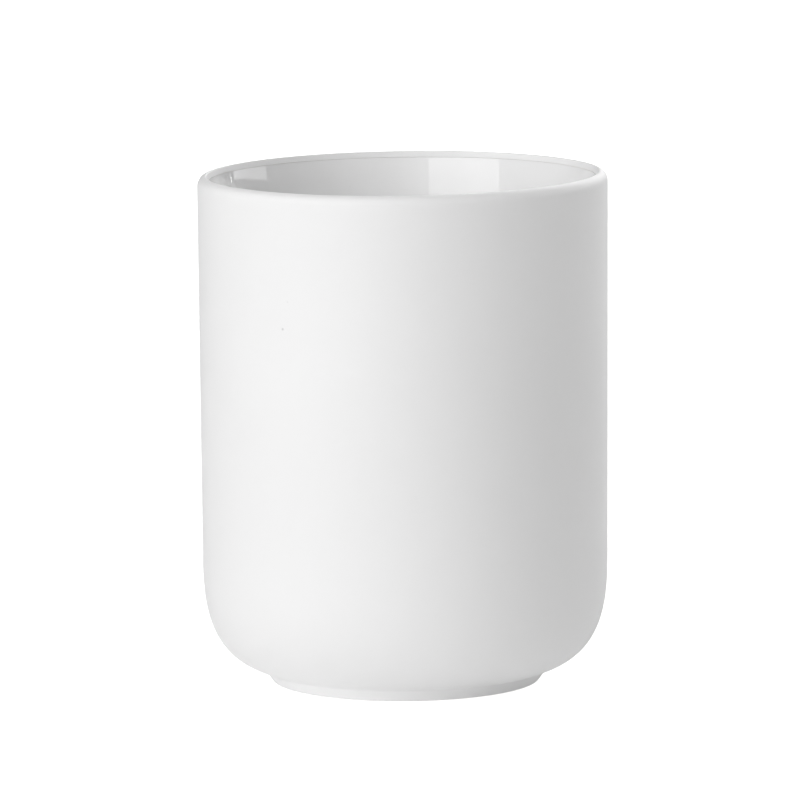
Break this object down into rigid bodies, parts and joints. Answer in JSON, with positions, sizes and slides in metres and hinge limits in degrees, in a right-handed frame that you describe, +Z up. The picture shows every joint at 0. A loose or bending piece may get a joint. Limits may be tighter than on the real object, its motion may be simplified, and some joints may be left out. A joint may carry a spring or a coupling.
{
  "type": "pen cup",
  "caption": "Round free-standing pen cup with straight walls, a rounded lower corner and a low foot, matt outside and over the lip, gloss inside.",
  "frame": {"origin": "centre of the pad's lower face, which is the face the cup stands on", "axes": "+Z up along the cup's axis, out of the mouth; X and Y are any two directions at right angles, as the cup is round"},
  "size_m": [0.0798, 0.0798, 0.1],
  "materials": {
    "bare_stoneware": "unglazed, fine grain",
    "matt_white_coat": "matt, soft to the touch",
    "white_glaze": "gloss",
    "pad_rubber": "matt, finely textured"
  },
  "bodies": {
    "root": {"cup_body": "bare_stoneware", "soft_touch_coat": "matt_white_coat", "inner_glaze": "white_glaze", "base_pad": "pad_rubber"}
  },
  "joints": []
}
